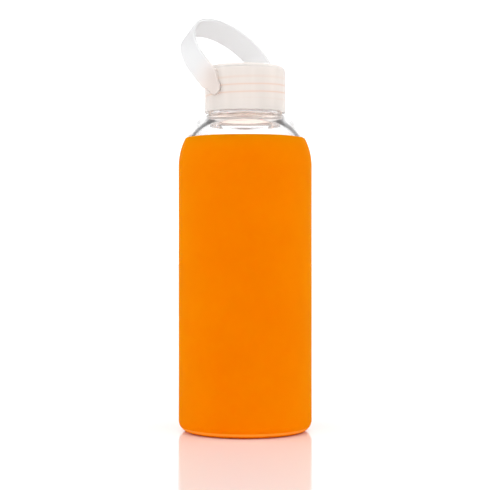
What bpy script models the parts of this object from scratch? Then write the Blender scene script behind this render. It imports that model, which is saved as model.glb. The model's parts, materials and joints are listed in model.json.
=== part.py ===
"""Glass water bottle: a glass body in a silicone sleeve, with a screw cap and a swinging carry strap.

Lengths are in metres, +Z is up, and the origin is the centre of the flat base that the bottle stands on.
A turned piece is an outline of (radius, height) points, swept round the Z axis.
"""

import math

import bmesh
import bpy
from mathutils import Matrix, Vector

SEGMENTS = 48
PIN_SEGMENTS = 24
GAP = 0.0003

# Sleeve: the silicone skin that sets the bottle's largest diameter.
SLEEVE_RADIUS = 0.0360
SLEEVE_WALL = 0.0016
SLEEVE_TOP = 0.1582
SLEEVE_CORNER = 0.0062
SLEEVE_SHOULDER_START = 0.1425
SLEEVE_SHOULDER_CENTRE = 0.0180
SLEEVE_SHOULDER_RISE = 0.0256

# Glass body, one sleeve wall and one gap inside the sleeve.
GLASS_RADIUS = SLEEVE_RADIUS - SLEEVE_WALL - GAP
GLASS_BOTTOM = SLEEVE_WALL + GAP
GLASS_WALL = 0.0018
GLASS_SHOULDER_WALL = 0.0025
GLASS_FLOOR = 0.0085
GLASS_HEEL = 0.0055
GLASS_INNER_CORNER = 0.0060
GLASS_FLOOR_CROWN = 0.0008
PUNT_RADIUS = 0.0230
PUNT_EDGE_WIDTH = 0.0060
PUNT_EDGE_RISE = 0.0015
PUNT_RISE = 0.0022
SHOULDER_START = 0.1440
SHOULDER_CENTRE = 0.0180
SHOULDER_RISE = 0.0266

# Neck, with a plain bead under the threaded part.
NECK_RADIUS = 0.0190
NECK_BEAD_TOP = 0.1723
NECK_BEAD_SLOPE = 0.0012
MOUTH_RADIUS = 0.0148
MOUTH_TOP = 0.1887
LIP_OUTER_ROUNDING = 0.0011
LIP_INNER_BEVEL = 0.0006

# Screw thread: a right-hand ridge of one start. Angles are counted from the front, in degrees.
THREAD_ROOT = 0.0173
THREAD_DEPTH = 0.0012
THREAD_PITCH = 0.0040
THREAD_FRONT_HEIGHT = 0.1812
THREAD_ROOT_HALF_WIDTH = 0.0009
THREAD_CREST_HALF_WIDTH = 0.0004
THREAD_BURIED = 0.0004
THREAD_END_BURIED = 0.0002
THREAD_STEP_DEG = 10.0
THREAD_FADE_DEG = 40.0
NECK_THREAD_START = -200.0
NECK_THREAD_END = 430.0
CAP_THREAD_START = -150.0
CAP_THREAD_END = 270.0
CAP_THREAD_DROP = 0.0015
THREAD_CLEARANCE = 0.00035

# Cap: outer shell, threaded insert and soft seal.
CAP_RADIUS = 0.0218
CAP_LIP_RADIUS = 0.0220
CAP_BOTTOM = 0.1718
CAP_TOP = 0.1966
CAP_CORNER = 0.0030
CAP_WALL = 0.0018
CAP_CEILING = 0.1946
CAP_LIP_HEIGHT = 0.0006
CAP_LIP_TAPER_TOP = 0.0012
CAP_INNER_BEVEL = 0.0010
SEAL_RADIUS = 0.0183
SEAL_THICKNESS = 0.0012
SEAL_BOTTOM = MOUTH_TOP + GAP
SEAL_BEVEL = 0.0003
INSERT_RADIUS = CAP_RADIUS - CAP_WALL - GAP
INSERT_BORE = THREAD_ROOT + THREAD_DEPTH + THREAD_CLEARANCE
INSERT_BOTTOM = 0.1730
INSERT_TOP = 0.1917
INSERT_CEILING = SEAL_BOTTOM + SEAL_THICKNESS + GAP
INSERT_BEVEL = 0.0008

# Strap: a ribbon bent into an arch, with a pivot pin on the inner face of each end.
STRAP_PIVOT_HEIGHT = 0.1840
STRAP_AZIMUTH = math.radians(44.5)
STRAP_LEAN = math.radians(39.0)
STRAP_WIDTH = 0.0132
STRAP_THICKNESS = 0.0018
STRAP_CLEARANCE = 0.00035
STRAP_END_HALF_SPAN = CAP_RADIUS + STRAP_CLEARANCE + STRAP_THICKNESS / 2
ARCH_HALF_SPAN = 0.02555
ARCH_SHOULDER = 0.0210
ARCH_TOP = 0.0481
STRAP_EYE_RADIUS = 0.0040
STRAP_FLARE_END = 0.0070
LEG_STRAIGHT_END = 0.0040
PIN_RADIUS = 0.0022
PIN_HEAD_RADIUS = 0.0030
PIN_HEAD_INNER = 0.0201
PIN_HEAD_OUTER = 0.0205
PIN_HEAD_BEVEL = 0.00015
PIN_POCKET_FLOOR = 0.0208
PIN_HOLE_CLEARANCE = 0.0003
PIN_POCKET_CLEARANCE = 0.0004

GLASS_CLEAR = (0.95, 0.97, 0.97)
SILICONE_ORANGE = (0.95, 0.21, 0.0)
CAP_FROSTED_WHITE = (0.92, 0.87, 0.84)
LINER_WHITE = (0.90, 0.88, 0.86)
SEAL_WHITE = (0.85, 0.84, 0.82)
STRAP_GREY_WHITE = (0.88, 0.88, 0.88)


def clear_scene():
    for obj in list(bpy.data.objects):
        bpy.data.objects.remove(obj)


def material(name, colour, roughness, transmission=0.0, ior=1.45):
    mat = bpy.data.materials.new(name)
    mat.use_nodes = True
    shader = mat.node_tree.nodes["Principled BSDF"]
    shader.inputs["Base Color"].default_value = (*colour, 1.0)
    shader.inputs["Metallic"].default_value = 0.0
    shader.inputs["Roughness"].default_value = roughness
    shader.inputs["Transmission Weight"].default_value = transmission
    shader.inputs["IOR"].default_value = ior
    return mat


def arc(centre_r, centre_z, radius_r, radius_z, start_deg, end_deg, steps):
    """Points on an elliptical arc, from start to end, counted from the outward radius."""
    points = []
    for i in range(steps + 1):
        angle = math.radians(start_deg + (end_deg - start_deg) * i / steps)
        points.append((centre_r + radius_r * math.cos(angle), centre_z + radius_z * math.sin(angle)))
    return points


def shoulder_angle(rise, height):
    """The arc angle, in degrees, at which a shoulder of the given rise reaches a height."""
    return math.degrees(math.asin(height / rise))


def link(name, mesh, mat):
    obj = bpy.data.objects.new(name, mesh)
    bpy.context.scene.collection.objects.link(obj)
    obj.data.materials.append(mat)
    return obj


def turned_mesh(name, outline, segments=SEGMENTS):
    """A closed mesh swept from an outline whose ends both lie on the Z axis."""
    bm = bmesh.new()
    verts = [bm.verts.new((r, 0.0, z)) for r, z in outline]
    edges = [bm.edges.new(pair) for pair in zip(verts, verts[1:])]
    bmesh.ops.spin(
        bm,
        geom=verts + edges,
        cent=(0.0, 0.0, 0.0),
        axis=(0.0, 0.0, 1.0),
        angle=math.tau,
        steps=segments,
        use_merge=True,
    )
    bmesh.ops.remove_doubles(bm, verts=bm.verts[:], dist=1e-6)
    bmesh.ops.recalc_face_normals(bm, faces=bm.faces[:])
    mesh = bpy.data.meshes.new(name)
    bm.to_mesh(mesh)
    bm.free()
    return mesh


def smooth(obj, angle_deg=38.0):
    obj.data.shade_smooth()
    obj.data.set_sharp_from_angle(angle=math.radians(angle_deg))


def move_origin(obj, height):
    """Puts the object's origin on the Z axis at a height, with its mesh left where it is."""
    obj.data.transform(Matrix.Translation((0.0, 0.0, -height)))
    obj.location = (0.0, 0.0, height)


def boolean(obj, operation, operand):
    operand.hide_render = True
    operand.display_type = "WIRE"
    modifier = obj.modifiers.new(operand.name, "BOOLEAN")
    modifier.operation = operation
    modifier.object = operand
    modifier.solver = "EXACT"


def loft(name, sections):
    """A closed mesh from rings of equal size, joined in order, with both ends capped."""
    bm = bmesh.new()
    rings = [[bm.verts.new(point) for point in section] for section in sections]
    for near, far in zip(rings, rings[1:]):
        for i in range(len(near)):
            j = (i + 1) % len(near)
            bm.faces.new((near[i], near[j], far[j], far[i]))
    bm.faces.new(rings[0])
    bm.faces.new(list(reversed(rings[-1])))
    bmesh.ops.recalc_face_normals(bm, faces=bm.faces[:])
    mesh = bpy.data.meshes.new(name)
    bm.to_mesh(mesh)
    bm.free()
    return mesh


def thread_ridge(name, wall, crest, front_height, start_deg, end_deg, mat):
    """One right-hand helical ridge standing on a wall; it fades into the wall at both ends.

    front_height is the ridge's height at the front, where the angle is -90 degrees.
    """
    outward = 1.0 if crest > wall else -1.0
    buried = wall - outward * THREAD_BURIED
    lowest_crest = wall - outward * THREAD_END_BURIED
    sections = []
    steps = round((end_deg - start_deg) / THREAD_STEP_DEG)
    for i in range(steps + 1):
        turn = start_deg + (end_deg - start_deg) * i / steps
        grown = min(1.0, (turn - start_deg) / THREAD_FADE_DEG, (end_deg - turn) / THREAD_FADE_DEG)
        top = lowest_crest + (crest - lowest_crest) * math.sin(grown * math.pi / 2)
        angle = math.radians(turn - 90.0)
        z = front_height + THREAD_PITCH * turn / 360.0
        ring = [(buried, z - THREAD_ROOT_HALF_WIDTH), (buried, z + THREAD_ROOT_HALF_WIDTH)]
        ring += [(top, z + THREAD_CREST_HALF_WIDTH), (top, z - THREAD_CREST_HALF_WIDTH)]
        sections.append([(r * math.cos(angle), r * math.sin(angle), h) for r, h in ring])
    return link(name, loft(name, sections), mat)


def glass_outline():
    """From the middle of the punt, out and up the outside, over the lip and down the inside."""
    heel_centre = GLASS_RADIUS - GLASS_HEEL
    neck_angle = math.degrees(math.acos((NECK_RADIUS - SHOULDER_CENTRE) / (GLASS_RADIUS - SHOULDER_CENTRE)))
    inner_radius = GLASS_RADIUS - GLASS_WALL
    inner_rise = SHOULDER_RISE - GLASS_SHOULDER_WALL
    inner_span = inner_radius - MOUTH_RADIUS
    inner_corner = GLASS_INNER_CORNER
    lip = LIP_OUTER_ROUNDING
    points = [(0.0, GLASS_BOTTOM + PUNT_RISE)]
    points += [(PUNT_RADIUS - PUNT_EDGE_WIDTH, GLASS_BOTTOM + PUNT_EDGE_RISE), (PUNT_RADIUS, GLASS_BOTTOM)]
    points += arc(heel_centre, GLASS_BOTTOM + GLASS_HEEL, GLASS_HEEL, GLASS_HEEL, -90, 0, 4)
    points += arc(
        SHOULDER_CENTRE, SHOULDER_START, GLASS_RADIUS - SHOULDER_CENTRE, SHOULDER_RISE, 0, neck_angle, 12
    )
    points += [(NECK_RADIUS, NECK_BEAD_TOP), (THREAD_ROOT, NECK_BEAD_TOP + NECK_BEAD_SLOPE)]
    points += arc(THREAD_ROOT - lip, MOUTH_TOP - lip, lip, lip, 0, 90, 2)
    points += [(MOUTH_RADIUS + LIP_INNER_BEVEL, MOUTH_TOP), (MOUTH_RADIUS, MOUTH_TOP - LIP_INNER_BEVEL)]
    points += arc(MOUTH_RADIUS, SHOULDER_START, inner_span, inner_rise, 90, 0, 8)
    corner_centre = inner_radius - inner_corner
    points += arc(corner_centre, GLASS_FLOOR + inner_corner, inner_corner, inner_corner, 0, -90, 3)
    points += [(0.0, GLASS_FLOOR + GLASS_FLOOR_CROWN)]
    return points


def build_glass(mat):
    glass = link("glass_bottle", turned_mesh("glass_bottle", glass_outline()), mat)
    ridge = thread_ridge(
        "neck_thread",
        THREAD_ROOT,
        THREAD_ROOT + THREAD_DEPTH,
        THREAD_FRONT_HEIGHT,
        NECK_THREAD_START,
        NECK_THREAD_END,
        mat,
    )
    boolean(glass, "UNION", ridge)
    smooth(glass)
    return glass


def sleeve_outline():
    """From the middle of the underside, up the outside, over the thin top edge and down the inside."""
    corner_centre = SLEEVE_RADIUS - SLEEVE_CORNER
    top_angle = shoulder_angle(SLEEVE_SHOULDER_RISE, SLEEVE_TOP - SLEEVE_SHOULDER_START)
    inner_angle = shoulder_angle(SHOULDER_RISE + GAP, SLEEVE_TOP - SHOULDER_START)
    points = [(0.0, 0.0)]
    points += arc(corner_centre, SLEEVE_CORNER, SLEEVE_CORNER, SLEEVE_CORNER, -90, 0, 5)
    points += arc(
        SLEEVE_SHOULDER_CENTRE,
        SLEEVE_SHOULDER_START,
        SLEEVE_RADIUS - SLEEVE_SHOULDER_CENTRE,
        SLEEVE_SHOULDER_RISE,
        0,
        top_angle,
        7,
    )
    points += arc(
        SHOULDER_CENTRE,
        SHOULDER_START,
        GLASS_RADIUS + GAP - SHOULDER_CENTRE,
        SHOULDER_RISE + GAP,
        inner_angle,
        0,
        6,
    )
    inner_corner = GLASS_HEEL + GAP
    inner_centre = GLASS_RADIUS - GLASS_HEEL
    points += arc(inner_centre, GLASS_BOTTOM + GLASS_HEEL, inner_corner, inner_corner, 0, -90, 4)
    points += [(0.0, SLEEVE_WALL)]
    return points


def build_sleeve(mat):
    sleeve = link("silicone_sleeve", turned_mesh("silicone_sleeve", sleeve_outline()), mat)
    smooth(sleeve)
    return sleeve


def shell_outline():
    corner_centre = CAP_RADIUS - CAP_CORNER
    inner = CAP_RADIUS - CAP_WALL
    points = [(0.0, CAP_TOP)]
    points += arc(corner_centre, CAP_TOP - CAP_CORNER, CAP_CORNER, CAP_CORNER, 90, 0, 4)
    points += [(CAP_RADIUS, CAP_BOTTOM + CAP_LIP_TAPER_TOP), (CAP_LIP_RADIUS, CAP_BOTTOM + CAP_LIP_HEIGHT)]
    points += [(CAP_LIP_RADIUS, CAP_BOTTOM), (inner, CAP_BOTTOM)]
    points += [(inner, CAP_CEILING - CAP_INNER_BEVEL), (inner - CAP_INNER_BEVEL, CAP_CEILING)]
    points += [(0.0, CAP_CEILING)]
    return points


def insert_outline():
    points = [(0.0, INSERT_TOP), (INSERT_RADIUS - INSERT_BEVEL, INSERT_TOP)]
    points += [(INSERT_RADIUS, INSERT_TOP - INSERT_BEVEL)]
    points += [(INSERT_RADIUS, INSERT_BOTTOM), (INSERT_BORE, INSERT_BOTTOM)]
    points += [(INSERT_BORE, INSERT_CEILING), (0.0, INSERT_CEILING)]
    return points


def seal_outline():
    low = SEAL_BOTTOM
    high = SEAL_BOTTOM + SEAL_THICKNESS
    points = [(0.0, low), (SEAL_RADIUS - SEAL_BEVEL, low), (SEAL_RADIUS, low + SEAL_BEVEL)]
    points += [(SEAL_RADIUS, high - SEAL_BEVEL), (SEAL_RADIUS - SEAL_BEVEL, high), (0.0, high)]
    return points


def pair_along_pivot(name, outline, mat):
    """One object with the same turned shape on both ends of the pivot axis, which is its own X axis."""
    bm = bmesh.new()
    for side in (-1.0, 1.0):
        mesh = turned_mesh(name, outline, PIN_SEGMENTS)
        mesh.transform(Matrix.Rotation(math.radians(90.0 * side), 4, "Y"))
        bm.from_mesh(mesh)
        bpy.data.meshes.remove(mesh)
    mesh = bpy.data.meshes.new(name)
    bm.to_mesh(mesh)
    bm.free()
    return link(name, mesh, mat)


def pin_hole_outline():
    hole = PIN_RADIUS + PIN_HOLE_CLEARANCE
    pocket = PIN_HEAD_RADIUS + PIN_POCKET_CLEARANCE
    start = CAP_RADIUS - 2.0 * CAP_WALL
    end = CAP_RADIUS + CAP_WALL
    points = [(0.0, start), (pocket, start), (pocket, PIN_POCKET_FLOOR)]
    points += [(hole, PIN_POCKET_FLOOR), (hole, end), (0.0, end)]
    return points


def pin_outline():
    end = STRAP_END_HALF_SPAN
    points = [(0.0, PIN_HEAD_INNER), (PIN_HEAD_RADIUS - PIN_HEAD_BEVEL, PIN_HEAD_INNER)]
    points += [(PIN_HEAD_RADIUS, PIN_HEAD_INNER + PIN_HEAD_BEVEL), (PIN_HEAD_RADIUS, PIN_HEAD_OUTER)]
    points += [(PIN_RADIUS, PIN_HEAD_OUTER), (PIN_RADIUS, end), (0.0, end)]
    return points


def build_cap(shell_mat, insert_mat, seal_mat):
    shell = link("cap_shell", turned_mesh("cap_shell", shell_outline()), shell_mat)
    holes = pair_along_pivot("pin_holes", pin_hole_outline(), shell_mat)
    holes.location = (0.0, 0.0, STRAP_PIVOT_HEIGHT)
    holes.rotation_euler = (0.0, 0.0, STRAP_AZIMUTH)
    boolean(shell, "DIFFERENCE", holes)
    insert = link("cap_insert", turned_mesh("cap_insert", insert_outline()), insert_mat)
    ridge = thread_ridge(
        "cap_thread",
        INSERT_BORE,
        INSERT_BORE - THREAD_DEPTH,
        THREAD_FRONT_HEIGHT - CAP_THREAD_DROP,
        CAP_THREAD_START,
        CAP_THREAD_END,
        insert_mat,
    )
    boolean(insert, "UNION", ridge)
    seal = link("cap_seal", turned_mesh("cap_seal", seal_outline()), seal_mat)
    for obj in (shell, insert, seal):
        smooth(obj)
        move_origin(obj, CAP_BOTTOM)


def leg_half_span(height):
    """Half the distance between the two legs, at a height above the pivot."""
    share = (height - LEG_STRAIGHT_END) / (ARCH_SHOULDER - LEG_STRAIGHT_END)
    eased = (1.0 - math.cos(math.pi * min(1.0, max(0.0, share)))) / 2.0
    return STRAP_END_HALF_SPAN + (ARCH_HALF_SPAN - STRAP_END_HALF_SPAN) * eased


def strap_half_width(height):
    """Round at the eye below the pivot, flaring to the full ribbon above it."""
    if height <= 0.0:
        return math.sqrt(max(0.0, STRAP_EYE_RADIUS**2 - height**2))
    share = min(1.0, height / STRAP_FLARE_END)
    eased = share * share * (3.0 - 2.0 * share)
    return STRAP_EYE_RADIUS + (STRAP_WIDTH / 2.0 - STRAP_EYE_RADIUS) * eased


def leg_heights():
    """Heights above the pivot at which a leg has a section, from the eye's end to the arch's shoulder."""
    eye = [-STRAP_EYE_RADIUS * math.sin(math.radians(a)) for a in (80, 60, 40, 20)]
    flare = [STRAP_FLARE_END * i / 5 for i in range(6)]
    leg = [STRAP_FLARE_END + (ARCH_SHOULDER - STRAP_FLARE_END) * i / 5 for i in range(1, 5)]
    return eye + flare + leg


def strap_stations():
    """(across, up, half width) along the ribbon's middle line, from the left eye to the right one."""
    left = [(-leg_half_span(h), h, strap_half_width(h)) for h in leg_heights()]
    right = [(-across, h, half) for across, h, half in reversed(left)]
    top = []
    steps = 20
    for i in range(steps + 1):
        turn = math.pi * i / steps - math.pi / 2
        across = ARCH_HALF_SPAN * math.sin(turn)
        top.append((across, ARCH_SHOULDER + (ARCH_TOP - ARCH_SHOULDER) * math.cos(turn), STRAP_WIDTH / 2.0))
    return left + top + right


def ribbon_sections():
    stations = strap_stations()
    sections = []
    for i, (across, up, half) in enumerate(stations):
        before = stations[max(i - 1, 0)]
        after = stations[min(i + 1, len(stations) - 1)]
        run = Vector((after[0] - before[0], 0.0, after[1] - before[1])).normalized()
        out = Vector((-run.z, 0.0, run.x)) * STRAP_THICKNESS / 2.0
        middle = Vector((across, 0.0, up))
        side = Vector((0.0, half, 0.0))
        sections.append([middle + side + out, middle - side + out, middle - side - out, middle + side - out])
    return sections


def build_strap(mat):
    strap = link("carry_strap", loft("carry_strap", ribbon_sections()), mat)
    pins = pair_along_pivot("strap_pins", pin_outline(), mat)
    for obj in (strap, pins):
        obj.location = (0.0, 0.0, STRAP_PIVOT_HEIGHT)
        obj.rotation_euler = (-STRAP_LEAN, 0.0, STRAP_AZIMUTH)
    boolean(strap, "UNION", pins)
    smooth(strap)
    return strap


def main():
    clear_scene()
    glass = material("clear_glass", GLASS_CLEAR, 0.02, transmission=1.0, ior=1.5)
    silicone = material("orange_silicone", SILICONE_ORANGE, 0.45)
    frosted = material("frosted_plastic", CAP_FROSTED_WHITE, 0.4, transmission=0.3)
    liner = material("liner_plastic", LINER_WHITE, 0.4, transmission=0.2)
    soft = material("white_silicone", SEAL_WHITE, 0.5)
    strap = material("strap_plastic", STRAP_GREY_WHITE, 0.45, transmission=0.3)
    build_glass(glass)
    build_sleeve(silicone)
    build_cap(frosted, liner, soft)
    build_strap(strap)


main()
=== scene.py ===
"""The looks of the glass water bottle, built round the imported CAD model.

Lengths are in metres. A turned piece is an outline of (radius, height) points swept round the Z axis.
"""

import json
import math

import bpy
from mathutils import Matrix, Vector


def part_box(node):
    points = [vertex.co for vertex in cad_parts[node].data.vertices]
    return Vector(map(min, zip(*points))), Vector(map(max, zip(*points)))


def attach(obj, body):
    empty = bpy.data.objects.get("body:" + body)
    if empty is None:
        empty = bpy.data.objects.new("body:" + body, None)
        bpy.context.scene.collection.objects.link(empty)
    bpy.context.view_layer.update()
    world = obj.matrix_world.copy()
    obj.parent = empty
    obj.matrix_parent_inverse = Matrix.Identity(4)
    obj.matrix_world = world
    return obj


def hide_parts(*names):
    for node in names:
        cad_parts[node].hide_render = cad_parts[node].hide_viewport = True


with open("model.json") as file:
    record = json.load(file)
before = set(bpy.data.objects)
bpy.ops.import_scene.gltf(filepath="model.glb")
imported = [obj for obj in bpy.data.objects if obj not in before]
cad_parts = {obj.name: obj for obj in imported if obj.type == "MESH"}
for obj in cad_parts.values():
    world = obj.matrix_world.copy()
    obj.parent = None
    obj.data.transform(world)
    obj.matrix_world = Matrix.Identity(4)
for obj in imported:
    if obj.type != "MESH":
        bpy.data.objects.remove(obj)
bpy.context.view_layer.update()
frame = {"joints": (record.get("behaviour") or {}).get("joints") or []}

MM = 0.001
SEGMENTS = 192

sleeve_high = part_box("silicone_sleeve")[1]
glass_low, glass_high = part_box("glass_bottle")
shell_low, shell_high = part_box("cap_shell")
insert_low, insert_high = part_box("cap_insert")
seal_low, seal_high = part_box("cap_seal")
strap_joint = next(j for j in frame["joints"] if j["name"] == "strap_swing")

# Sleeve.
SLEEVE_RADIUS = sleeve_high.x
SLEEVE_TOP = sleeve_high.z
SLEEVE_WALL = 1.6 * MM
SLEEVE_CORNER = 6.2 * MM
SLEEVE_SHOULDER_START = 142.5 * MM
SLEEVE_SHOULDER_CENTRE = 18.0 * MM
SLEEVE_SHOULDER_RISE = 25.6 * MM
SLEEVE_LIP_REACH = 0.5 * MM
SLEEVE_WAVE_REACH = 14.0 * MM
SLEEVE_WAVE = 0.10 * MM
SLEEVE_SLACK = 0.06 * MM
FIT_GAP = 0.3 * MM

# Glass body.
GLASS_RADIUS = glass_high.x
GLASS_BOTTOM = glass_low.z
GLASS_WALL = 1.8 * MM
GLASS_SHOULDER_WALL = 2.5 * MM
GLASS_FLOOR = 8.5 * MM
GLASS_HEEL = 5.5 * MM
PUNT_RADIUS = 23.0 * MM
PUNT_RISE = 2.2 * MM
SHOULDER_START = 144.0 * MM
SHOULDER_CENTRE = 18.0 * MM
SHOULDER_RISE = 26.6 * MM
NECK_RADIUS = 19.0 * MM
NECK_BEAD_TOP = 172.3 * MM
THREAD_ROOT = 17.3 * MM
THREAD_DEPTH = 1.2 * MM
THREAD_PITCH = 4.0 * MM
THREAD_FRONT_HEIGHT = 181.2 * MM
THREAD_SHIFT = 1.5 * MM
THREAD_HALF_FOOT = 0.95 * MM
THREAD_FLANK = 0.6 * MM
THREAD_RUN_OUT_DEG = 38.0
GLASS_THREAD_DEG = (-200.0, 430.0)
INSERT_THREAD_DEG = (-150.0, 270.0)
MOUTH_RADIUS = 14.8 * MM
MOUTH_TOP = glass_high.z
BORE_FLARE_REACH = 6.0 * MM
BORE_FLARE_PASSES = 60
GLASS_INNER_CORNER = 6.0 * MM

# Cap.
CAP_LIP_RADIUS = shell_high.x
CAP_RADIUS = CAP_LIP_RADIUS - 0.2 * MM
CAP_BOTTOM = shell_low.z
CAP_TOP = shell_high.z
CAP_CORNER = 3.0 * MM
CAP_WALL = 1.8 * MM
CAP_CEILING = CAP_TOP - 2.0 * MM
INSERT_RADIUS = insert_high.x
INSERT_BORE = THREAD_ROOT + THREAD_DEPTH + 0.35 * MM
INSERT_BOTTOM = insert_low.z
INSERT_TOP = insert_high.z
INSERT_CEILING = INSERT_TOP - 1.2 * MM
SEAL_RADIUS = seal_high.x
SEAL_BOTTOM = seal_low.z
SEAL_TOP = seal_high.z

# Painted shade: darker lines painted into the cap's colour along the thread, where the moulded thread
# shows through the translucent wall. The radial angle starts at -X, a quarter turn before the front.
THREAD_SHADE_HEIGHT = THREAD_FRONT_HEIGHT - THREAD_PITCH / 4.0
THREAD_SHADE_PROFILE = [(0.0, 0.0), (0.05, 0.25), (0.12, 0.80), (0.30, 1.0)]
THREAD_SHADE_LOW = 177.5 * MM
THREAD_SHADE_HIGH = 191.0 * MM

# Strap.
STRAP_PIVOT = Vector(strap_joint["pos_m"])
STRAP_AZIMUTH = math.atan2(strap_joint["axis"][1], strap_joint["axis"][0])
STRAP_LEAN = math.radians(39.0)
STRAP_WIDTH = 13.2 * MM
STRAP_THICKNESS = 1.8 * MM
STRAP_EDGE = 0.55 * MM
STRAP_EYE_THICKNESS = 1.1 * MM
STRAP_TAPER_END = 9.0 * MM
# Painted warm light round the strap's eyes fades out between these distances from the pivot.
STRAP_ROOT_LIGHT_START = 24.0 * MM
STRAP_ROOT_LIGHT_END = 31.0 * MM
STRAP_END_HALF_SPAN = CAP_RADIUS + 0.35 * MM + STRAP_THICKNESS / 2
ARCH_HALF_SPAN = 25.55 * MM
ARCH_SHOULDER = 21.0 * MM
ARCH_TOP = 48.1 * MM
STRAP_EYE_RADIUS = 4.0 * MM
STRAP_FLARE_END = 7.0 * MM
LEG_STRAIGHT_END = 4.0 * MM
PIN_RADIUS = 2.2 * MM
PIN_HEAD_RADIUS = 3.0 * MM
PIN_HEAD_INNER = 20.1 * MM
PIN_HEAD_OUTER = 20.5 * MM
PIN_POCKET_FLOOR = 20.8 * MM
PIN_HOLE_CLEARANCE = 0.3 * MM
PIN_POCKET_CLEARANCE = 0.4 * MM

# Looks. A glow is a weak emission that stands in for light scattered inside translucent material.
GLASS_TINT = (0.992, 0.99, 0.995, 1.0)
GLASS_IOR = 1.5
NECK_BLUR = 0.14
NECK_BLUR_START = 165.5 * MM
NECK_BLUR_END = 169.0 * MM
SILICONE_DARK = (0.87, 0.192, 0.0)
SILICONE_LIGHT = (0.91, 0.214, 0.0)
SILICONE_GLOSS_TINT = (1.0, 0.42, 0.0, 1.0)
SILICONE_DEPTH = 0.004
SILICONE_SPREAD = (1.0, 0.6, 0.1)
# Painted light: the colour of the glow painted on the sleeve's inside faces.
SLEEVE_INSIDE_GLOW_TINT = (0.95, 0.30, 0.02)
SLEEVE_INSIDE_GLOW = 0.14
PLASTIC_IOR = 1.2
PLASTIC_ROUGHNESS_SPREAD = 0.04
CAP_TINT = (0.755, 0.74, 0.73)
CAP_GLOW_TINT = (1.0, 0.90, 0.84, 1.0)
CAP_GLOW = 0.02
# Painted light: the colour of the glow painted on the cap shell's inside faces.
CAP_INSIDE_GLOW_TINT = (1.0, 0.91, 0.84)
CAP_INSIDE_GLOW = 0.34
# Painted shade: the colour of the darker lines painted along the thread on the cap.
THREAD_SHADE_TINT = (0.75, 0.58, 0.49, 1.0)
LINER_TINT = (0.98, 0.955, 0.935)
LINER_GLOW_TINT = (1.0, 0.92, 0.87, 1.0)
LINER_GLOW = 0.20
STRAP_TINT = (0.875, 0.875, 0.88)
STRAP_ROOT_PAINTED_LIGHT = (0.93, 0.865, 0.83, 1.0)
SEAL_DARK = (0.80, 0.79, 0.77)
SEAL_LIGHT = (0.86, 0.85, 0.83)
FLOOR_DARK = (0.88, 0.88, 0.88)
FLOOR_LIGHT = (0.90, 0.90, 0.90)

# Studio. The backdrop's and the cards' limits are sines of the angle away from straight behind the bottle.
STUDIO_STRENGTH = 1.33
BACKDROP_WHITE = 0.92
CARD_BLACK = 0.0
CARD_HEIGHT_WEIGHT = 0.6
BACKDROP_EDGE = 0.13
CARD_START = 0.22
CARD_END = 0.72
SIDE_START = 0.90
CARD_GAP_START = 0.11
CARD_GAP_END = 0.24
SOFTBOX_PLACE = (0.0, 0.0, 1.5)
SOFTBOX_SIZE = (2.5, 2.5)
SOFTBOX_POWER = 6.0
FLOOR_HALF_SIZE = 6.0
LIGHT_BOUNCES = 40

# Camera.
CAMERA_DISTANCE = 0.714
CAMERA_HEIGHT = 0.1004
CAMERA_SIDE = -0.0001
CAMERA_LENS = 96.9


# ---------------------------------------------------------------- outlines

def arc(centre_r, centre_z, radius_r, radius_z, start_deg, end_deg, steps):
    points = []
    for i in range(steps + 1):
        angle = math.radians(start_deg + (end_deg - start_deg) * i / steps)
        points.append((centre_r + radius_r * math.cos(angle), centre_z + radius_z * math.sin(angle)))
    return points


def straight(start, end, steps):
    """Points between two ends, without the ends themselves."""
    return [
        (start[0] + (end[0] - start[0]) * i / steps, start[1] + (end[1] - start[1]) * i / steps)
        for i in range(1, steps)
    ]


def dense(points, spacing):
    """The same outline with points no further apart than the spacing."""
    out = [points[0]]
    for a, b in zip(points, points[1:]):
        steps = max(1, math.ceil(math.dist(a, b) / spacing))
        out += straight(a, b, steps)
        out.append(b)
    return out


def soften(points, centre, reach, passes):
    """Rounds the outline's corners near a point, as a mould radius does."""
    pts = list(points)
    near = [i for i in range(1, len(pts) - 1) if math.dist(pts[i], centre) < reach]
    for _ in range(passes):
        before = list(pts)
        for i in near:
            pts[i] = tuple(
                before[i][k] * 0.5 + (before[i - 1][k] + before[i + 1][k]) * 0.25 for k in (0, 1)
            )
    return pts


def smooth_step(value):
    value = min(1.0, max(0.0, value))
    return value * value * (3.0 - 2.0 * value)


# ---------------------------------------------------------------- meshes

def finish_mesh(name, verts, faces, material, sharp_deg=40.0):
    mesh = bpy.data.meshes.new(name)
    mesh.from_pydata(verts, [], faces)
    mesh.validate()
    mesh.update()
    obj = bpy.data.objects.new(name, mesh)
    bpy.context.scene.collection.objects.link(obj)
    mesh.materials.append(material)
    mesh.shade_smooth()
    mesh.set_sharp_from_angle(angle=math.radians(sharp_deg))
    return obj


def turned(name, outline, material, shift=None, segments=SEGMENTS, sharp_deg=40.0):
    """Sweeps an outline whose ends are on the axis. shift(angle, r, z) moves a point of the outline."""
    verts = []
    rings = []
    for r, z in outline:
        if r < 1e-7:
            rings.append([len(verts)])
            verts.append((0.0, 0.0, z))
            continue
        ring = []
        for k in range(segments):
            angle = math.tau * k / segments
            rr, zz = shift(angle, r, z) if shift else (r, z)
            ring.append(len(verts))
            verts.append((rr * math.cos(angle), rr * math.sin(angle), zz))
        rings.append(ring)
    faces = []
    for low, high in zip(rings, rings[1:]):
        for k in range(segments):
            j = (k + 1) % segments
            if len(low) == 1:
                faces.append((low[0], high[j], high[k]))
            elif len(high) == 1:
                faces.append((low[k], low[j], high[0]))
            else:
                faces.append((low[k], low[j], high[j], high[k]))
    return finish_mesh(name, verts, faces, material, sharp_deg)


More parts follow.
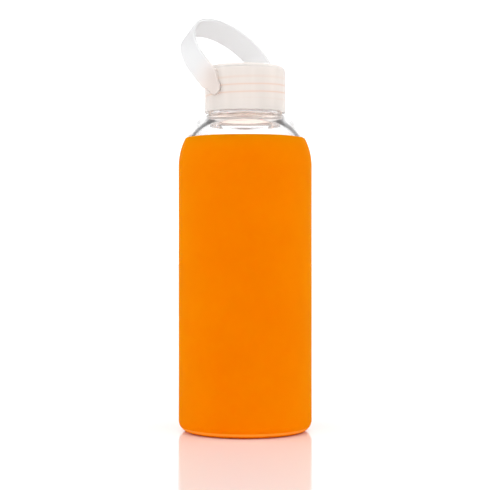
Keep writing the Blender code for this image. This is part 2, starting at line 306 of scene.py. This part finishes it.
def lofted(name, sections, material, sharp_deg=50.0):
    """Joins rings of equal size in order and closes both ends."""
    verts = [point for section in sections for point in section]
    size = len(sections[0])
    faces = []
    for i in range(len(sections) - 1):
        for k in range(size):
            j = (k + 1) % size
            faces.append((i * size + k, i * size + j, (i + 1) * size + j, (i + 1) * size + k))
    faces.append(tuple(reversed(range(size))))
    last = (len(sections) - 1) * size
    faces.append(tuple(last + k for k in range(size)))
    return finish_mesh(name, verts, faces, material, sharp_deg)


def apply_boolean(obj, operation, operand, sharp_deg=35.0):
    modifier = obj.modifiers.new("cut", "BOOLEAN")
    modifier.operation = operation
    modifier.object = operand
    modifier.solver = "EXACT"
    depsgraph = bpy.context.evaluated_depsgraph_get()
    mesh = bpy.data.meshes.new_from_object(obj.evaluated_get(depsgraph))
    obj.modifiers.clear()
    obj.data = mesh
    bpy.data.objects.remove(operand)
    mesh.shade_smooth()
    mesh.set_sharp_from_angle(angle=math.radians(sharp_deg))


# ---------------------------------------------------------------- node materials

def grey_stops(stops):
    return [(position, (grey, grey, grey)) for position, grey in stops]


def ramp_node(tree, source, stops, interpolation="LINEAR"):
    """Each stop is (position, colour)."""
    ramp = tree.nodes.new("ShaderNodeValToRGB")
    ramp.color_ramp.interpolation = interpolation
    elements = ramp.color_ramp.elements
    while len(elements) < len(stops):
        elements.new(0.5)
    for element, (position, colour) in zip(elements, stops):
        element.position = position
        element.color = (*colour, 1.0)
    tree.links.new(source, ramp.inputs["Fac"])
    return ramp.outputs["Color"]


def math_node(tree, operation, first, second=0.0):
    made = tree.nodes.new("ShaderNodeMath")
    made.operation = operation
    for socket, value in zip(made.inputs, (first, second)):
        if isinstance(value, float):
            socket.default_value = value
        else:
            tree.links.new(value, socket)
    return made.outputs["Value"]


class Nodes:
    """A small helper for building one material's node tree."""

    def __init__(self, name):
        self.material = bpy.data.materials.new(name)
        self.material.use_nodes = True
        self.tree = self.material.node_tree
        self.shader = self.tree.nodes["Principled BSDF"]
        self.coordinates = self.tree.nodes.new("ShaderNodeTexCoord").outputs["Object"]

    def set(self, **values):
        for name, value in values.items():
            self.shader.inputs[name.replace("_", " ")].default_value = value

    def node(self, kind, **values):
        made = self.tree.nodes.new(kind)
        for name, value in values.items():
            setattr(made, name, value)
        return made

    def noise(self, scale, detail=3.0, roughness=0.5, stretch=(1.0, 1.0, 1.0)):
        mapping = self.node("ShaderNodeMapping")
        mapping.inputs["Scale"].default_value = stretch
        self.tree.links.new(self.coordinates, mapping.inputs["Vector"])
        noise = self.node("ShaderNodeTexNoise")
        noise.inputs["Scale"].default_value = scale
        noise.inputs["Detail"].default_value = detail
        noise.inputs["Roughness"].default_value = roughness
        self.tree.links.new(mapping.outputs["Vector"], noise.inputs["Vector"])
        return noise.outputs["Fac"]

    def ramp(self, source, stops):
        return ramp_node(self.tree, source, stops)

    def ramp_grey(self, source, stops):
        return ramp_node(self.tree, source, grey_stops(stops))

    def math(self, operation, first, second):
        return math_node(self.tree, operation, first, second)

    def span(self, source, low, high, start=0.0, end=1.0):
        spread = self.node("ShaderNodeMapRange")
        spread.inputs["From Min"].default_value = start
        spread.inputs["From Max"].default_value = end
        spread.inputs["To Min"].default_value = low
        spread.inputs["To Max"].default_value = high
        self.tree.links.new(source, spread.inputs["Value"])
        return spread.outputs["Result"]

    def bump(self, *layers):
        """Each layer is (height source, strength, distance)."""
        normal = None
        for source, strength, distance in layers:
            bump = self.node("ShaderNodeBump")
            bump.inputs["Strength"].default_value = strength
            bump.inputs["Distance"].default_value = distance
            self.tree.links.new(source, bump.inputs["Height"])
            if normal is not None:
                self.tree.links.new(normal, bump.inputs["Normal"])
            normal = bump.outputs["Normal"]
        self.tree.links.new(normal, self.shader.inputs["Normal"])

    def feed(self, source, socket):
        self.tree.links.new(source, self.shader.inputs[socket])


def glass_material():
    """Clear glass, slightly blurred round the neck."""
    m = Nodes("clear_glass")
    m.set(Base_Color=GLASS_TINT, IOR=GLASS_IOR, Transmission_Weight=1.0)
    place = m.node("ShaderNodeSeparateXYZ")
    m.tree.links.new(m.coordinates, place.inputs["Vector"])
    m.feed(m.span(place.outputs["Z"], 0.0, NECK_BLUR, NECK_BLUR_START, NECK_BLUR_END), "Roughness")
    m.bump((m.noise(60.0, 1.0, 0.4, (1.0, 1.0, 0.35)), 0.25, 0.0004))
    return m.material


def sleeve_material():
    m = Nodes("orange_silicone")
    m.set(Subsurface_Weight=0.7, Subsurface_Scale=SILICONE_DEPTH, Subsurface_Radius=SILICONE_SPREAD)
    m.set(Specular_IOR_Level=0.005, Specular_Tint=SILICONE_GLOSS_TINT)
    m.feed(m.ramp(m.noise(28.0, 4.0, 0.55), [(0.3, SILICONE_DARK), (0.7, SILICONE_LIGHT)]), "Base Color")
    m.feed(m.span(m.noise(90.0, 4.0, 0.6), 0.46, 0.60), "Roughness")
    m.bump((m.noise(35.0, 2.0), 0.12, 0.0004), (m.noise(5200.0, 2.0, 0.6), 0.10, 0.00006))
    return m.material


def frosted_nodes(name, tint, clear, roughness, shade=0.985, stretch=(1.0, 1.0, 1.0)):
    """Translucent moulded plastic. clear is the share of light that passes on through it.

    shade is how dark the clouds in its tint get, and stretch squeezes or draws them out along each axis.
    """
    m = Nodes(name)
    m.set(IOR=PLASTIC_IOR, Transmission_Weight=clear)
    darker = tuple(channel * shade for channel in tint)
    m.tint = m.ramp(m.noise(45.0, 3.0, 0.5, stretch), [(0.35, darker), (0.65, tint)])
    m.feed(m.tint, "Base Color")
    low = roughness - PLASTIC_ROUGHNESS_SPREAD
    high = roughness + PLASTIC_ROUGHNESS_SPREAD
    m.feed(m.span(m.noise(160.0, 4.0, 0.6), low, high), "Roughness")
    m.bump((m.noise(55.0, 2.0), 0.05, 0.0002))
    return m


def painted_thread_shade(m):
    """0 on a painted shade line along the cap's moulded thread and 1 away from it."""
    place = m.node("ShaderNodeSeparateXYZ")
    m.tree.links.new(m.coordinates, place.inputs["Vector"])
    around = m.node("ShaderNodeTexGradient", gradient_type="RADIAL")
    m.tree.links.new(m.coordinates, around.inputs["Vector"])
    wander = m.span(m.noise(38.0, 2.0, 0.5, (1.0, 1.0, 3.0)), -0.10, 0.10)
    laps = m.math("DIVIDE", m.math("SUBTRACT", place.outputs["Z"], THREAD_SHADE_HEIGHT), THREAD_PITCH)
    phase = m.math("ADD", m.math("SUBTRACT", laps, around.outputs["Fac"]), wander)
    distance = m.math("PINGPONG", phase, 0.5)
    line = m.ramp_grey(distance, THREAD_SHADE_PROFILE)
    reach = m.span(place.outputs["Z"], 0.0, 1.0, THREAD_SHADE_LOW, THREAD_SHADE_HIGH)
    window = m.ramp_grey(reach, [(0.0, 1.0), (0.18, 0.0), (0.72, 0.25), (1.0, 1.0)])
    fade = m.span(m.noise(30.0, 2.0, 0.5, (1.0, 1.0, 2.0)), 0.0, 0.35, 0.45, 0.65)
    return m.math("MAXIMUM", m.math("MAXIMUM", line, window), fade)


def glow_material(name, colour, strength):
    """Painted light: the inside of a translucent skin, given a weak emission that stands in for the light
    coming through it.
    """
    m = Nodes(name)
    darker = tuple(channel * 0.94 for channel in colour)
    shades = m.ramp(m.noise(60.0, 3.0), [(0.3, darker), (0.7, colour)])
    m.feed(shades, "Base Color")
    m.feed(shades, "Emission Color")
    m.set(Emission_Strength=strength, Roughness=0.6, Specular_IOR_Level=0.1)
    return m.material


def paint_inside(obj, material, inner_radius, low, high):
    """Gives the material to the faces no further out than the radius, between two heights."""
    obj.data.materials.append(material)
    slot = len(obj.data.materials) - 1
    for face in obj.data.polygons:
        centre = face.center
        if math.hypot(centre.x, centre.y) < inner_radius and low < centre.z < high:
            face.material_index = slot


def cap_material():
    m = frosted_nodes("frosted_cap", CAP_TINT, 0.45, 0.20, 0.91, (1.8, 1.8, 0.25))
    # Painted light: a weak glow stands in for light scattered inside the frosted plastic.
    m.set(Emission_Color=CAP_GLOW_TINT, Emission_Strength=CAP_GLOW)
    # Painted shade: darker lines along the thread are mixed into the cap's colour, where the thread shows
    # through.
    shade = m.node("ShaderNodeMix", data_type="RGBA")
    shade.inputs["A"].default_value = THREAD_SHADE_TINT
    m.tree.links.new(painted_thread_shade(m), shade.inputs["Factor"])
    m.tree.links.new(m.tint, shade.inputs["B"])
    m.feed(shade.outputs["Result"], "Base Color")
    return m.material


def liner_material():
    m = frosted_nodes("liner_plastic", LINER_TINT, 0.75, 0.15)
    # Painted light: a glow stands in for light scattered inside the liner's plastic.
    m.set(Emission_Color=LINER_GLOW_TINT, Emission_Strength=LINER_GLOW)
    return m.material


def strap_material():
    """Greyish white along the ribbon, with painted warm light round its eyes: the cap's warm glow
    spreading into the strap.
    """
    m = frosted_nodes("frosted_strap", STRAP_TINT, 0.45, 0.45)
    from_pivot = m.node("ShaderNodeVectorMath", operation="DISTANCE")
    from_pivot.inputs[1].default_value = STRAP_PIVOT
    m.tree.links.new(m.coordinates, from_pivot.inputs[0])
    across = m.span(from_pivot.outputs["Value"], 0.0, 1.0, STRAP_ROOT_LIGHT_START, STRAP_ROOT_LIGHT_END)
    # Painted light: warmer near the pivot, standing in for the cap's warm light spreading into the strap.
    shade = m.node("ShaderNodeMix", data_type="RGBA")
    shade.inputs["A"].default_value = STRAP_ROOT_PAINTED_LIGHT
    m.tree.links.new(across, shade.inputs["Factor"])
    m.tree.links.new(m.tint, shade.inputs["B"])
    m.feed(shade.outputs["Result"], "Base Color")
    return m.material


def seal_material():
    m = Nodes("white_silicone")
    m.set(Subsurface_Weight=0.2, Subsurface_Scale=0.001, Specular_IOR_Level=0.2)
    m.feed(m.ramp(m.noise(80.0, 3.0), [(0.3, SEAL_DARK), (0.7, SEAL_LIGHT)]), "Base Color")
    m.feed(m.span(m.noise(300.0, 3.0), 0.5, 0.62), "Roughness")
    m.bump((m.noise(3500.0, 2.0, 0.6), 0.12, 0.00005))
    return m.material


def floor_material():
    m = Nodes("white_sweep")
    m.set(Roughness=0.12, Specular_IOR_Level=0.30)
    m.feed(m.ramp(m.noise(3.0, 2.0), [(0.3, FLOOR_DARK), (0.7, FLOOR_LIGHT)]), "Base Color")
    return m.material


# ---------------------------------------------------------------- pieces

def thread_height(angle, z, front_height, start_deg, end_deg):
    """How far a right-hand ridge stands out at a place on its wall, from 0 to 1."""
    best = 0.0
    for lap in range(-2, 3):
        turn = math.degrees(angle) + 90.0 + 360.0 * lap
        if not start_deg < turn < end_deg:
            continue
        off = abs(z - front_height - THREAD_PITCH * turn / 360.0)
        fade = smooth_step(min(turn - start_deg, end_deg - turn) / THREAD_RUN_OUT_DEG)
        best = max(best, fade * smooth_step((THREAD_HALF_FOOT - off) / THREAD_FLANK))
    return best


def glass_outline():
    heel = GLASS_RADIUS - GLASS_HEEL
    inner = GLASS_RADIUS - GLASS_WALL
    shoulder_width = GLASS_RADIUS - SHOULDER_CENTRE
    neck_angle = math.degrees(math.acos((NECK_RADIUS - SHOULDER_CENTRE) / shoulder_width))
    punt = [
        (PUNT_RADIUS * i / 12, GLASS_BOTTOM + PUNT_RISE * math.cos(math.pi / 2 * i / 12) ** 1.3)
        for i in range(12)
    ]
    foot = [(PUNT_RADIUS, GLASS_BOTTOM)] + arc(
        heel, GLASS_BOTTOM + GLASS_HEEL, GLASS_HEEL, GLASS_HEEL, -90, 0, 14
    )
    foot = soften(dense(foot, 1.0 * MM), (PUNT_RADIUS, GLASS_BOTTOM), 2.2 * MM, 6)
    shoulder = arc(SHOULDER_CENTRE, SHOULDER_START, shoulder_width, SHOULDER_RISE, 0, neck_angle, 48)
    bead = [(NECK_RADIUS, NECK_BEAD_TOP), (THREAD_ROOT, NECK_BEAD_TOP + 1.2 * MM)]
    neck = dense(shoulder[-8:] + bead, 0.3 * MM)
    neck = soften(neck, shoulder[-1], 2.0 * MM, 14)
    neck = soften(neck, bead[0], 1.2 * MM, 5)
    lip = arc(THREAD_ROOT - 1.1 * MM, MOUTH_TOP - 1.1 * MM, 1.1 * MM, 1.1 * MM, 0, 90, 8)
    lip += arc(MOUTH_RADIUS + 0.7 * MM, MOUTH_TOP - 0.7 * MM, 0.7 * MM, 0.7 * MM, 90, 180, 6)
    finish = dense([bead[-1], lip[0]], 0.2 * MM)[1:-1]
    inner_rise = SHOULDER_RISE - GLASS_SHOULDER_WALL
    bore = arc(MOUTH_RADIUS, SHOULDER_START, inner - MOUTH_RADIUS, inner_rise, 90, 0, 48)
    inside = dense([lip[-1]] + bore[:10], 0.5 * MM)
    inside = soften(inside, bore[0], BORE_FLARE_REACH, BORE_FLARE_PASSES)
    round_off = GLASS_INNER_CORNER
    floor = arc(inner - round_off, GLASS_FLOOR + round_off, round_off, round_off, 0, -90, 14)
    floor += [(PUNT_RADIUS * 0.6, GLASS_FLOOR + 0.5 * MM), (0.0, GLASS_FLOOR + 0.8 * MM)]
    return punt + foot + shoulder[:-8] + neck + finish + lip + inside[1:] + bore[10:] + floor


def build_glass(material):
    def shift(angle, r, z):
        on_finish = r > THREAD_ROOT - 0.05 * MM and z > NECK_BEAD_TOP + 1.1 * MM
        if not on_finish:
            return r, z
        return r + THREAD_DEPTH * thread_height(angle, z, THREAD_FRONT_HEIGHT, *GLASS_THREAD_DEG), z

    return turned("bottle_glass", glass_outline(), material, shift, sharp_deg=60.0)


def sleeve_outline():
    corner = SLEEVE_RADIUS - SLEEVE_CORNER
    top_deg = math.degrees(math.asin((SLEEVE_TOP - SLEEVE_SHOULDER_START) / SLEEVE_SHOULDER_RISE))
    inner_deg = math.degrees(math.asin((SLEEVE_TOP - SHOULDER_START) / (SHOULDER_RISE + FIT_GAP)))
    wall_low = (SLEEVE_RADIUS, SLEEVE_CORNER)
    wall_high = (SLEEVE_RADIUS, SLEEVE_SHOULDER_START)
    outer = [(0.0, 0.0)] + dense([(corner * 0.2, 0.0), (corner, 0.0)], 4.0 * MM)[:-1]
    outer += arc(corner, SLEEVE_CORNER, SLEEVE_CORNER, SLEEVE_CORNER, -90, 0, 16)
    outer += straight(wall_low, wall_high, 90)
    outer += arc(
        SLEEVE_SHOULDER_CENTRE,
        SLEEVE_SHOULDER_START,
        SLEEVE_RADIUS - SLEEVE_SHOULDER_CENTRE,
        SLEEVE_SHOULDER_RISE,
        0,
        top_deg,
        30,
    )
    inner = arc(
        SHOULDER_CENTRE,
        SHOULDER_START,
        GLASS_RADIUS + FIT_GAP - SHOULDER_CENTRE,
        SHOULDER_RISE + FIT_GAP,
        inner_deg,
        0,
        24,
    )
    rim = (outer[-1], inner[0])
    lip = dense(outer[-4:] + inner[:4], 0.08 * MM)
    for corner_point in rim:
        lip = soften(lip, corner_point, SLEEVE_LIP_REACH, 6)
    foot_centre = GLASS_RADIUS - GLASS_HEEL
    foot_radius = GLASS_HEEL + FIT_GAP
    inner_foot = arc(foot_centre, GLASS_BOTTOM + GLASS_HEEL, foot_radius, foot_radius, 0, -90, 12)
    return outer[:-4] + lip + inner[4:] + inner_foot + [(0.0, SLEEVE_WALL)]


def build_sleeve(material):
    """The sleeve's rim waves a little, and its wall is slightly slack in places."""

    def shift(angle, r, z):
        near_top = smooth_step((z - SLEEVE_TOP + SLEEVE_WAVE_REACH) / SLEEVE_WAVE_REACH)
        wave = math.sin(2.0 * angle + 0.9) + 0.6 * math.sin(3.0 * angle - 1.1)
        wave += 0.35 * math.sin(5.0 * angle)
        dip = SLEEVE_WAVE * (wave - 1.95) * near_top
        slack = 0.5 + 0.5 * math.sin(3.0 * angle + z / (19.0 * MM)) * math.sin(z / (31.0 * MM) + angle)
        outside = smooth_step((r - SLEEVE_RADIUS + SLEEVE_WALL * 0.6) / (SLEEVE_WALL * 0.4))
        return r - SLEEVE_SLACK * slack * outside, z + dip

    sleeve = turned("sleeve_skin", sleeve_outline(), material, shift, sharp_deg=60.0)
    # Painted light: the sleeve's inside faces glow weakly orange, standing in for light coming through the
    # silicone.
    inside = glow_material("sleeve_inside_painted_glow", SLEEVE_INSIDE_GLOW_TINT, SLEEVE_INSIDE_GLOW)
    paint_inside(sleeve, inside, GLASS_RADIUS + 0.7 * MM, SLEEVE_WALL - 0.1 * MM, SHOULDER_START)
    return sleeve


def shell_outline():
    corner = CAP_RADIUS - CAP_CORNER
    inner = CAP_RADIUS - CAP_WALL
    outer = [(0.0, CAP_TOP)] + straight((0.0, CAP_TOP), (corner, CAP_TOP), 10)
    outer += arc(corner, CAP_TOP - CAP_CORNER, CAP_CORNER, CAP_CORNER, 90, 0, 16)
    skirt = [outer[-1], (CAP_RADIUS, CAP_BOTTOM + 1.2 * MM), (CAP_LIP_RADIUS, CAP_BOTTOM + 0.7 * MM)]
    skirt += [(CAP_LIP_RADIUS, CAP_BOTTOM), (inner, CAP_BOTTOM), (inner, CAP_BOTTOM + 4.0 * MM)]
    skirt = dense(skirt, 0.25 * MM)
    for point in ((CAP_LIP_RADIUS, CAP_BOTTOM), (inner, CAP_BOTTOM)):
        skirt = soften(skirt, point, 0.3 * MM, 1)
    skirt = soften(skirt, (CAP_RADIUS, CAP_BOTTOM + 1.0 * MM), 1.0 * MM, 4)
    ceiling = [(inner, CAP_CEILING - 1.0 * MM), (inner - 1.0 * MM, CAP_CEILING), (0.0, CAP_CEILING)]
    return outer + skirt[1:] + dense([skirt[-1]] + ceiling, 2.0 * MM)[1:]


def insert_outline():
    bevel = 0.8 * MM
    points = [(0.0, INSERT_TOP), (INSERT_RADIUS - bevel, INSERT_TOP)]
    points += [(INSERT_RADIUS, INSERT_TOP - bevel), (INSERT_RADIUS, INSERT_BOTTOM)]
    points.append((INSERT_BORE, INSERT_BOTTOM))
    points = dense(points, 2.0 * MM)
    bore = dense([(INSERT_BORE, INSERT_BOTTOM), (INSERT_BORE, INSERT_CEILING)], 0.2 * MM)[1:]
    return points + bore + [(0.0, INSERT_CEILING)]


def seal_outline():
    bevel = 0.3 * MM
    middle = (SEAL_BOTTOM + SEAL_TOP) / 2
    half = (SEAL_TOP - SEAL_BOTTOM) / 2
    steps = ((0.66, 0), (0.68, 0.2), (0.72, 0.2))
    groove = [(SEAL_RADIUS * share, SEAL_BOTTOM + rise * MM) for share, rise in steps]
    points = [(0.0, SEAL_BOTTOM)] + groove + [(SEAL_RADIUS * 0.74, SEAL_BOTTOM)]
    points += arc(SEAL_RADIUS - bevel, middle - half + bevel, bevel, bevel, -90, 0, 4)
    points += arc(SEAL_RADIUS - bevel, middle + half - bevel, bevel, bevel, 0, 90, 4)
    return points + [(0.0, SEAL_TOP)]


def along_pivot(outline, material, segments=48):
    """The same turned shape on both ends of the strap's pivot axis, as one object."""
    halves = []
    for side in (-1.0, 1.0):
        half = turned("pivot_half", outline, material, segments=segments, sharp_deg=35.0)
        half.data.transform(Matrix.Rotation(math.radians(90.0 * side), 4, "Y"))
        halves.append(half)
    first, second = halves
    verts = [v.co.copy() for h in halves for v in h.data.vertices]
    offset = len(first.data.vertices)
    faces = [tuple(p.vertices) for p in first.data.polygons]
    faces += [tuple(i + offset for i in p.vertices) for p in second.data.polygons]
    for half in halves:
        bpy.data.objects.remove(half)
    return finish_mesh("pivot_pair", verts, faces, material)


def pin_hole_outline():
    hole = PIN_RADIUS + PIN_HOLE_CLEARANCE
    pocket = PIN_HEAD_RADIUS + PIN_POCKET_CLEARANCE
    start = CAP_RADIUS - 2.0 * CAP_WALL
    end = CAP_RADIUS + CAP_WALL
    points = [(0.0, start), (pocket, start), (pocket, PIN_POCKET_FLOOR)]
    return points + [(hole, PIN_POCKET_FLOOR), (hole, end), (0.0, end)]


def pin_outline():
    bevel = 0.12 * MM
    points = [(0.0, PIN_HEAD_INNER), (PIN_HEAD_RADIUS - bevel, PIN_HEAD_INNER)]
    points += [(PIN_HEAD_RADIUS, PIN_HEAD_INNER + bevel), (PIN_HEAD_RADIUS, PIN_HEAD_OUTER)]
    points += [(PIN_RADIUS, PIN_HEAD_OUTER), (PIN_RADIUS, STRAP_END_HALF_SPAN)]
    return points + [(0.0, STRAP_END_HALF_SPAN)]


def strap_place():
    """From the strap's own frame (X along the pivot, Z up the arch) to the bottle's."""
    turn = Matrix.Rotation(STRAP_AZIMUTH, 4, "Z") @ Matrix.Rotation(-STRAP_LEAN, 4, "X")
    return Matrix.Translation(STRAP_PIVOT) @ turn


def build_shell(material):
    shell = turned("cap_cover", list(reversed(shell_outline())), material)
    holes = along_pivot(pin_hole_outline(), material)
    holes.data.transform(Matrix.Translation(STRAP_PIVOT) @ Matrix.Rotation(STRAP_AZIMUTH, 4, "Z"))
    apply_boolean(shell, "DIFFERENCE", holes)
    # Painted light: the shell's inside faces glow weakly, standing in for light scattered through the
    # frosted plastic.
    inside = glow_material("cap_inside_painted_glow", CAP_INSIDE_GLOW_TINT, CAP_INSIDE_GLOW)
    margin = 0.1 * MM
    paint_inside(shell, inside, CAP_RADIUS - CAP_WALL + margin, CAP_BOTTOM + margin, CAP_CEILING + margin)
    return shell


def build_insert(material):
    def shift(angle, r, z):
        on_bore = abs(r - INSERT_BORE) < 0.01 * MM and z > INSERT_BOTTOM + 0.1 * MM
        if not on_bore:
            return r, z
        front = THREAD_FRONT_HEIGHT - THREAD_SHIFT
        return r - THREAD_DEPTH * thread_height(angle, z, front, *INSERT_THREAD_DEG), z

    return turned("cap_liner", list(reversed(insert_outline())), material, shift, sharp_deg=60.0)


def leg_half_span(height):
    share = (height - LEG_STRAIGHT_END) / (ARCH_SHOULDER - LEG_STRAIGHT_END)
    eased = (1.0 - math.cos(math.pi * min(1.0, max(0.0, share)))) / 2.0
    return STRAP_END_HALF_SPAN + (ARCH_HALF_SPAN - STRAP_END_HALF_SPAN) * eased


def strap_half_width(height):
    if height <= 0.0:
        return math.sqrt(max(0.0, STRAP_EYE_RADIUS**2 - height**2))
    flare = STRAP_WIDTH / 2 - STRAP_EYE_RADIUS
    return STRAP_EYE_RADIUS + flare * smooth_step(height / STRAP_FLARE_END)


def strap_stations():
    """(across, up, half width) along the ribbon's middle line, from the left eye to the right one."""
    eye = [-STRAP_EYE_RADIUS * math.sin(math.radians(88 - 8 * i)) for i in range(11)]
    leg = [ARCH_SHOULDER * i / 36 for i in range(36)]
    left = [(-leg_half_span(h), h, strap_half_width(h)) for h in eye + leg]
    right = [(-across, h, half) for across, h, half in reversed(left)]
    top = []
    steps = 96
    for i in range(steps + 1):
        turn = math.pi * i / steps - math.pi / 2
        up = ARCH_SHOULDER + (ARCH_TOP - ARCH_SHOULDER) * math.cos(turn)
        top.append((ARCH_HALF_SPAN * math.sin(turn), up, STRAP_WIDTH / 2))
    return left + top + right


def ribbon_ring(half_width, up):
    """(across, through) points of the ribbon's section with rounded edges. The eye is thinner outside."""
    half = STRAP_THICKNESS / 2
    edge = min(STRAP_EDGE, half_width * 0.7)
    grown = smooth_step(up / STRAP_TAPER_END)
    share = (STRAP_EYE_THICKNESS + (STRAP_THICKNESS - STRAP_EYE_THICKNESS) * grown) / STRAP_THICKNESS
    ring = []
    for sign_w, sign_t, start in ((1, 1, 0), (-1, 1, 90), (-1, -1, 180), (1, -1, 270)):
        for i in range(5):
            angle = math.radians(start + 90 * i / 4)
            w = sign_w * (half_width - edge) + edge * math.cos(angle)
            t = sign_t * (half - STRAP_EDGE) + STRAP_EDGE * math.sin(angle)
            ring.append((w, t))
        if sign_t > 0 and sign_w > 0:
            ring += [(half_width * part, half) for part in (0.5, 0.0, -0.5)]
        if sign_t < 0 and sign_w < 0:
            ring += [(half_width * part, -half) for part in (-0.5, 0.0, 0.5)]
    return [(w, (t + half) * share - half) for w, t in ring]


def build_strap(material):
    stations = strap_stations()
    sections = []
    for i, (across, up, half) in enumerate(stations):
        before = stations[max(i - 1, 0)]
        after = stations[min(i + 1, len(stations) - 1)]
        run = Vector((after[0] - before[0], 0.0, after[1] - before[1])).normalized()
        out = Vector((-run.z, 0.0, run.x))
        middle = Vector((across, 0.0, up))
        sections.append([middle + Vector((0.0, w, 0.0)) + out * t for w, t in ribbon_ring(half, up)])
    strap = lofted("strap_band", sections, material)
    pins = along_pivot(pin_outline(), material)
    apply_boolean(strap, "UNION", pins)
    strap.data.transform(strap_place())
    return strap


# ---------------------------------------------------------------- stage

def build_floor():
    mesh = bpy.data.meshes.new("studio_floor")
    size = FLOOR_HALF_SIZE
    corners = [(-size, -size, 0.0), (size, -size, 0.0), (size, size, 0.0), (-size, size, 0.0)]
    mesh.from_pydata(corners, [], [(0, 1, 2, 3)])
    floor = bpy.data.objects.new("studio_floor", mesh)
    bpy.context.scene.collection.objects.link(floor)
    mesh.materials.append(floor_material())


def build_world():
    """A white studio: a backdrop behind the bottle, a dark card on each side of it, and white all round.

    The cards act on soft light and on light mirrored inside a clear piece. The camera, plain mirror
    reflections and views straight through the glass see white.
    """
    world = bpy.data.worlds.new("studio")
    world.use_nodes = True
    tree = world.node_tree
    background = tree.nodes["Background"]
    background.inputs["Strength"].default_value = STUDIO_STRENGTH
    axes = tree.nodes.new("ShaderNodeSeparateXYZ")
    directions = tree.nodes.new("ShaderNodeTexCoord").outputs["Generated"]
    tree.links.new(directions, axes.inputs["Vector"])

    flattened = tree.nodes.new("ShaderNodeVectorMath")
    flattened.operation = "MULTIPLY"
    flattened.inputs[1].default_value = (1.0, 0.0, CARD_HEIGHT_WEIGHT)
    tree.links.new(directions, flattened.inputs[0])
    sideways = tree.nodes.new("ShaderNodeVectorMath")
    sideways.operation = "LENGTH"
    tree.links.new(flattened.outputs["Vector"], sideways.inputs[0])
    around = [(BACKDROP_EDGE, BACKDROP_WHITE), (CARD_START, CARD_BLACK), (CARD_END, CARD_BLACK)]
    around = grey_stops(around + [(SIDE_START, 1.0)])
    ring = ramp_node(tree, sideways.outputs["Value"], around, "EASE")
    gap = grey_stops([(CARD_GAP_START, 1.0), (CARD_GAP_END, 0.0)])
    between = ramp_node(tree, math_node(tree, "ABSOLUTE", axes.outputs["X"]), gap, "EASE")
    cards = math_node(tree, "MAXIMUM", ring, between)
    behind = ramp_node(tree, axes.outputs["Y"], grey_stops([(0.05, 0.0), (0.30, 1.0)]), "EASE")
    light = tree.nodes.new("ShaderNodeMix")
    light.data_type = "RGBA"
    light.inputs["A"].default_value = (1.0, 1.0, 1.0, 1.0)
    tree.links.new(behind, light.inputs["Factor"])
    tree.links.new(cards, light.inputs["B"])

    rays = tree.nodes.new("ShaderNodeLightPath").outputs
    mirrored = math_node(tree, "SUBTRACT", rays["Is Glossy Ray"], rays["Is Transmission Ray"])
    straight_on = math_node(tree, "SUBTRACT", rays["Is Transmission Ray"], rays["Glossy Depth"])
    unhindered = math_node(tree, "MAXIMUM", mirrored, straight_on)
    seen = tree.nodes.new("ShaderNodeMix")
    seen.data_type = "RGBA"
    seen.inputs["B"].default_value = (1.0, 1.0, 1.0, 1.0)
    tree.links.new(math_node(tree, "MAXIMUM", rays["Is Camera Ray"], unhindered), seen.inputs["Factor"])
    tree.links.new(light.outputs["Result"], seen.inputs["A"])
    tree.links.new(seen.outputs["Result"], background.inputs["Color"])
    bpy.context.scene.world = world


def area_light(name, place, target, size, power):
    data = bpy.data.lights.new(name, "AREA")
    data.shape = "RECTANGLE"
    data.size, data.size_y = size
    data.energy = power
    light = bpy.data.objects.new(name, data)
    light.location = place
    light.rotation_mode = "QUATERNION"
    light.rotation_quaternion = (Vector(target) - Vector(place)).to_track_quat("-Z", "Y")
    bpy.context.scene.collection.objects.link(light)


def build_camera():
    data = bpy.data.cameras.new("camera")
    data.lens = CAMERA_LENS
    data.sensor_width = 36.0
    camera = bpy.data.objects.new("camera", data)
    camera.location = (CAMERA_SIDE, -CAMERA_DISTANCE, CAMERA_HEIGHT)
    camera.rotation_euler = (math.radians(90.0), 0.0, 0.0)
    bpy.context.scene.collection.objects.link(camera)
    bpy.context.scene.camera = camera


build_camera()
build_floor()
build_world()
area_light("softbox_top", SOFTBOX_PLACE, (0.0, 0.0, 0.0), SOFTBOX_SIZE, SOFTBOX_POWER)
scene = bpy.context.scene
scene.view_settings.view_transform = "Standard"
scene.cycles.max_bounces = LIGHT_BOUNCES
scene.cycles.transmission_bounces = LIGHT_BOUNCES
scene.cycles.glossy_bounces = LIGHT_BOUNCES
scene.cycles.diffuse_bounces = LIGHT_BOUNCES // 4

glass = build_glass(glass_material())
sleeve = build_sleeve(sleeve_material())
shell = build_shell(cap_material())
insert = build_insert(liner_material())
seal = turned("cap_gasket", seal_outline(), seal_material())
strap = build_strap(strap_material())

for piece, node, body, slot in (
    (glass, "glass_bottle", "bottle", "glass"),
    (sleeve, "silicone_sleeve", "bottle", "sleeve_silicone"),
    (shell, "cap_shell", "cap", "cap_frosted"),
    (insert, "cap_insert", "cap", "insert_plastic"),
    (seal, "cap_seal", "seal", "seal_silicone"),
    (strap, "carry_strap", "strap", "strap_plastic"),
):
    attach(piece, body)
    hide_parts(node)
